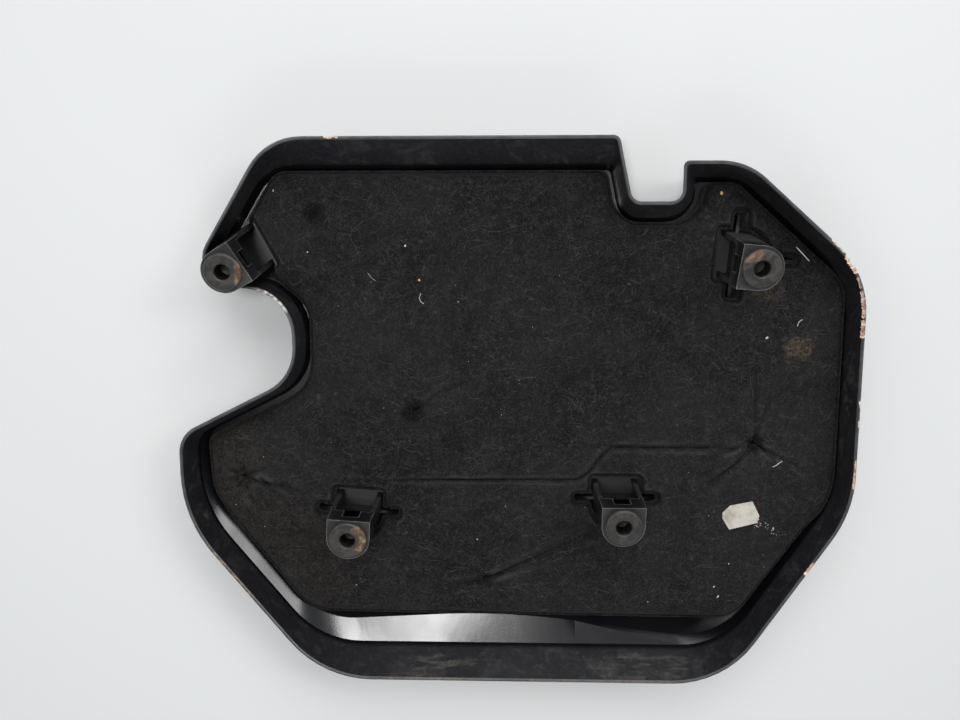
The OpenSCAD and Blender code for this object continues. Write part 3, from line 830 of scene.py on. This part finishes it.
def make_pad():
    """The felt's face, finer round creases, tacks and cut-outs, its side walls and its underside."""
    loops = [PAD_LOOP] + HOLES
    lo, hi = PAD_LOOP.min(0), PAD_LOOP.max(0)
    pts = []
    for step, rank in ((2.3, 0), (1.2, 1), (0.85, 2)):
        p = hex_points(step, lo, hi)
        if rank == 2:
            beside = np.min([np.hypot(p[:, 0] - x, p[:, 1] - y) for x, y, *_ in TOWERS.values()], axis=0)
            p = p[(crease_distance(p) < 3.2) | (beside < 48)]
        edge, hole = edge_distance(p), hole_distance(p)
        p, edge, hole = (v[(edge > 0.45 * step) & (hole > 0.45 * step)] for v in (p, edge, hole))
        crease, tack = crease_distance(p), tack_distance(p)
        need = np.where((edge < 9) | (tack < 2.6), 1, 0)
        need = np.where((hole < 5.5) | (crease < 3.2), 2, need)
        pts.append(p[need == rank])

    def keep(mid):
        return (edge_distance(mid) > 0) & (hole_distance(mid) > 0)

    def mesh_part(inner, height):
        xy, faces = fill(loops, inner, keep)
        bm = bmesh.new()
        verts = [bm.verts.new((x * MM, y * MM, h * MM)) for (x, y), h in zip(xy, height(xy))]
        for f in faces:
            bm.faces.new([verts[k] for k in f])
        bmesh.ops.delete(bm, geom=[v for v in bm.verts if not v.link_faces], context="VERTS")
        return bm

    top = mesh_part(np.vstack(pts), felt_height)
    rim = [e for e in top.edges if len(e.link_faces) == 1]
    walls = bmesh.ops.extrude_edge_only(top, edges=rim)["geom"]
    foot = [g for g in walls if isinstance(g, bmesh.types.BMVert)]
    for v, h in zip(foot, floor_height(np.array([v.co.xy for v in foot]) / MM)):
        v.co.z = h * MM
    grid = hex_points(9.0, lo, hi)
    step_line = [loop for inset in (-1.4, 0.8) for loop in PANEL_LOOP + inset * outward(PANEL_LOOP)]
    grid = np.vstack([grid[np.abs(signed_distance(grid, PANEL_LOOP)) > 4], step_line])
    grid = grid[(edge_distance(grid) > 2) & (hole_distance(grid) > 2)]
    bottom = mesh_part(grid, floor_height)
    part = bpy.data.meshes.new("pad_bottom")
    bottom.to_mesh(part)
    bottom.free()
    top.from_mesh(part)
    bpy.data.meshes.remove(part)
    under = [v for v in top.verts if v.co.z < (PAD_LOW + PANEL_RISE + 0.2) * MM]
    bmesh.ops.remove_doubles(top, verts=under, dist=WELD)
    bmesh.ops.recalc_face_normals(top, faces=top.faces)
    mesh = bpy.data.meshes.new("felt_pad")
    top.to_mesh(mesh)
    top.free()
    at = np.array([v.co.xy for v in mesh.vertices]) / MM
    # painted light and shade of the creases, ridges and grooves, kept in the attribute "crease"
    tone = painted_crease_shading(at, *within(at))
    mesh.attributes.new("crease", "FLOAT", "POINT").data.foreach_set("value", tone)
    mesh.polygons.foreach_set("use_smooth", [True] * len(mesh.polygons))
    mesh.set_sharp_from_angle(angle=math.radians(60))
    return mesh


pad = link("felt_pad", make_pad(), FELT)
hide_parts("insulation_pad")


def lie_on_felt(p, lift):
    """Points at a height over the felt."""
    return np.column_stack([p, felt_height(p) + lift])


def tubes(name, paths, radii, sides, material):
    """Thin round strands along paths of points, closed to a point at both ends."""
    verts, faces = [], []
    turn = np.arange(sides) * 2 * math.pi / sides + math.pi / 2
    for path, radius in zip(paths, radii):
        along = np.gradient(path, axis=0)
        along /= np.linalg.norm(along, axis=1)[:, None]
        side = np.cross(along, (0, 0, 1.0))
        side /= np.linalg.norm(side, axis=1)[:, None]
        up = np.cross(side, along)
        base = len(verts)
        n = len(path)
        for k in range(n):
            r = radius * (0.35 if k in (0, n - 1) else 1.0)
            verts += [path[k] + r * (math.cos(a) * side[k] + math.sin(a) * up[k]) for a in turn]
        for k in range(n - 1):
            for j in range(sides):
                q = base + k * sides
                i = (j + 1) % sides
                faces.append((q + j, q + i, q + sides + i, q + sides + j))
        faces.append([base + j for j in range(sides)][::-1])
        faces.append([base + (n - 1) * sides + j for j in range(sides)])
    mesh = bpy.data.meshes.new(name)
    mesh.from_pydata((np.array(verts) * MM).tolist(), [], faces)
    bm = bmesh.new()
    bm.from_mesh(mesh)
    bmesh.ops.recalc_face_normals(bm, faces=bm.faces)
    bm.to_mesh(mesh)
    bm.free()
    mesh.polygons.foreach_set("use_smooth", [True] * len(mesh.polygons))
    return link(name, mesh, material)


def felt_strands(count=1700, steps=8):
    """Single fibres that lie on the felt and curl slightly."""
    r = np.random.default_rng(11)
    p = r.uniform(PAD_LOOP.min(0), PAD_LOOP.max(0), (count, 2))
    heading = r.normal(0, 0.75, count) + math.pi * r.integers(0, 2, count)
    length = r.uniform(4, 18, count)
    bend = r.normal(0, 0.13, count)
    paths = np.zeros((count, steps + 1, 2))
    for k in range(steps + 1):
        paths[:, k] = p
        p = p + (length / steps)[:, None] * np.stack([np.cos(heading), np.sin(heading)], 1)
        heading = heading + bend + r.normal(0, 0.12, count)
    flat = paths.reshape(-1, 2)
    clear = ((edge_distance(flat) > 3.5) & (hole_distance(flat) > 2.5)).reshape(count, -1).all(1)
    paths = paths[clear]
    high = lie_on_felt(paths.reshape(-1, 2), 0.1).reshape(len(paths), steps + 1, 3)
    return tubes("felt_strands", high, r.uniform(0.04, 0.085, len(paths)), 3, STRAND)


def pale_lint():
    """Specks, crumbs of old glue beside the sticker, and single hairs, one of them a painted highlight on
    the pad's edge.
    """
    r = np.random.default_rng(5)
    specks = list(SPECKS)
    for _ in range(46):
        x = r.uniform(157, 182)
        specks.append((x, -70.5 - 0.42 * (x - 157) + r.normal(0, 2.0), r.uniform(0.15, 0.42)))
    for _ in range(60):
        specks.append((*r.uniform((-200, -135), (205, 150)), r.uniform(0.12, 0.3)))
    specks = np.array(specks)
    ok = (edge_distance(specks[:, :2]) > 2.5) & (hole_distance(specks[:, :2]) > 3)
    specks = specks[ok]
    at = lie_on_felt(specks[:, :2], 0.05)
    bm = bmesh.new()
    for place, rad in zip(at, specks[:, 2]):
        verts = bmesh.ops.create_icosphere(bm, subdivisions=1, radius=1.0)["verts"]
        stretch = Vector((r.uniform(0.7, 1.5), r.uniform(0.6, 1.1), 0.45))
        turn = Matrix.Rotation(r.uniform(0, math.pi), 3, "Z")
        for v in verts:
            v.co = (Vector(place) + turn @ (v.co * stretch * rad * r.uniform(0.75, 1.25))) * MM
    mesh = bpy.data.meshes.new("pale_lint")
    bm.to_mesh(mesh)
    bm.free()
    link("pale_lint", mesh, LINT)
    paths = []
    for path, _ in HAIRS:
        p = np.array(path, float)
        t = np.linspace(0, len(p) - 1, 4 * len(p))
        p = np.stack([np.interp(t, np.arange(len(p)), p[:, k]) for k in (0, 1)], 1)
        p[1:-1] = (p[:-2] + 2 * p[1:-1] + p[2:]) / 4
        paths.append(lie_on_felt(p, 0.25))
    tubes("loose_hairs", paths, [rad for _, rad in HAIRS], 5, LINT)


felt_strands()
pale_lint()


# Grommets and sticker
for name in TOWERS:
    grommet = copy_of("grommet_" + name, "rubber_grommet_" + name, RUBBER, 30)
    eased(grommet, GROMMET_EASE, 30, 3)
    grommet.data.polygons.foreach_set("use_smooth", [True] * len(grommet.data.polygons))
    grommet.data.set_sharp_from_angle(angle=math.radians(40))
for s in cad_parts["paper_sticker"].material_slots:
    s.material = PAPER


# Floor, lights and surroundings
def stage_material():
    m = Nodes("pale_floor")
    m.put(m.bsdf.inputs["Base Color"], (0.72, 0.73, 0.73, 1))
    m.bsdf.inputs["Roughness"].default_value = 0.9
    m.bsdf.inputs["Specular IOR Level"].default_value = 0.1
    return m.mat


FLOOR_HALF = 6.0
FLOOR_Z = -0.0002
mesh = bpy.data.meshes.new("floor")
mesh.from_pydata([(x * FLOOR_HALF, y * FLOOR_HALF, FLOOR_Z)
                  for x, y in ((-1, -1), (1, -1), (1, 1), (-1, 1))], [], [(0, 1, 2, 3)])
mesh.materials.append(stage_material())
floor = bpy.data.objects.new("floor", mesh)
bpy.context.scene.collection.objects.link(floor)


def area_light(name, at, aim, size, watts):
    data = bpy.data.lights.new(name, "AREA")
    data.shape = "RECTANGLE"
    data.size, data.size_y = size
    data.energy = watts
    obj = bpy.data.objects.new(name, data)
    bpy.context.scene.collection.objects.link(obj)
    obj.location = at
    obj.rotation_mode = "QUATERNION"
    obj.rotation_quaternion = (Vector(aim) - Vector(at)).to_track_quat("-Z", "Y")


# "overhead" is the lamp that the wide part of the bevel mirrors
area_light("overhead", (-0.21, 0.12, 1.25), (-0.13, -0.02, 0), (0.28, 0.34), 6.2)
area_light("window", (0.2, 1.35, 1.1), (0, 0, 0), (1.5, 1.0), 13.5)
area_light("side", (-1.3, 0.35, 1.1), (0, 0, 0), (0.8, 0.8), 2.0)
area_light("far_side", (1.2, 0.63, 1.25), (-0.1, -0.1, 0), (0.6, 0.6), 7.5)
area_light("front", (0.1, -1.6, 0.9), (0, 0, 0), (1.6, 0.7), 7.5)

# the surroundings are pale except high up behind the camera, where the room is dark
world = bpy.data.worlds.new("studio")
world.use_nodes = True
tree = world.node_tree
toward = tree.nodes.new("ShaderNodeTexCoord")
dark = tree.nodes.new("ShaderNodeVectorMath")
dark.operation = "DOT_PRODUCT"
dark.inputs[1].default_value = (0.0, -0.44, 0.898)
tree.links.new(toward.outputs["Generated"], dark.inputs[0])
level = tree.nodes.new("ShaderNodeMapRange")
level.interpolation_type = "SMOOTHSTEP"
for key, value in (("From Min", 0.74), ("From Max", 0.95), ("To Min", 0.36), ("To Max", 0.01)):
    level.inputs[key].default_value = value
tree.links.new(dark.outputs["Value"], level.inputs["Value"])
tree.nodes["Background"].inputs[0].default_value = (0.95, 0.97, 1.0, 1)
tree.links.new(level.outputs[0], tree.nodes["Background"].inputs[1])
bpy.context.scene.world = world
bpy.context.scene.view_settings.view_transform = "Standard"
